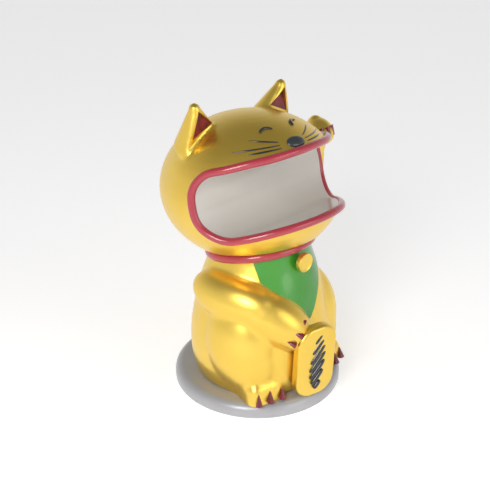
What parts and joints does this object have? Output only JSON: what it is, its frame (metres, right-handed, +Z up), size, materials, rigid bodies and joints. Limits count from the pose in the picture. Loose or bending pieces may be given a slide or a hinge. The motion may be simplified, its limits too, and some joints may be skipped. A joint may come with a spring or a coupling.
{
  "type": "beckoning cat figurine",
  "caption": "Open-mouthed beckoning cat on a round base, holding an oval coin, with a magnet pendulum that swings its raised arm.",
  "frame": {"origin": "centre of the round base, on the face that it stands on", "axes": "+Z up, -Y the way the cat faces, +X the cat's left side, where the raised arm is"},
  "size_m": [0.1223, 0.1136, 0.1719],
  "materials": {
    "gold_lacquer": "satin metallic gold lacquer over moulded ABS",
    "silver_lacquer": "satin silver-grey lacquer over moulded ABS",
    "white_enamel": "glossy warm white",
    "red_enamel": "glossy red enamel",
    "green_enamel": "glossy green enamel",
    "maroon_enamel": "glossy maroon enamel",
    "ear_red": "satin dark red enamel",
    "slate_enamel": "satin dark slate enamel",
    "black_enamel": "glossy black enamel",
    "zinc_steel": "bright zinc plated",
    "magnet_nickel": "nickel plated magnet",
    "black_plastic": "fine moulded texture",
    "nylon": "natural nylon",
    "copper_wire": "enamelled copper wire",
    "contact_brass": "nickel-free sprung contact",
    "cell_jacket": "printed foil jacket without any marking",
    "board_green": "solder mask",
    "chip_resin": "black potting resin"
  },
  "bodies": {
    "root": {"base_disc": "silver_lacquer", "battery_door": "silver_lacquer", "battery_cell": "cell_jacket", "battery_contacts": "contact_brass", "base_screws": "zinc_steel", "body_front_shell": "gold_lacquer", "body_rear_shell": "gold_lacquer", "right_arm": "gold_lacquer", "right_paw_claws": "maroon_enamel", "bib": "green_enamel", "collar": "red_enamel", "bell": "gold_lacquer", "tail": "gold_lacquer", "left_foot_claws": "maroon_enamel", "right_foot_claws": "maroon_enamel", "coin": "gold_lacquer", "coin_marks": "black_enamel", "head_shell": "gold_lacquer", "mouth_liner": "white_enamel", "lip_ring": "red_enamel", "left_ear_lining": "ear_red", "right_ear_lining": "ear_red", "nose": "slate_enamel", "eyes": "black_enamel", "whiskers": "black_enamel", "neck_screws": "zinc_steel", "movement_frame": "black_plastic", "inner_bush": "nylon", "outer_bush": "nylon", "coil_bobbin": "black_plastic", "coil_winding": "copper_wire", "circuit_board": "board_green", "board_parts": "chip_resin", "frame_screws": "zinc_steel"},
    "waving_arm": {"raised_arm": "gold_lacquer", "raised_paw_claws": "maroon_enamel", "arm_axle": "zinc_steel", "axle_clip": "zinc_steel", "pendulum_arm": "nylon", "pendulum_magnet": "magnet_nickel"}
  },
  "joints": [
    {"name": "arm_swing", "type": "hinge", "parent": "root", "child": "waving_arm", "pos_m": [0.044, 0.008, 0.072], "axis": [1, 0, 0], "range_deg": [-12, 12]}
  ]
}
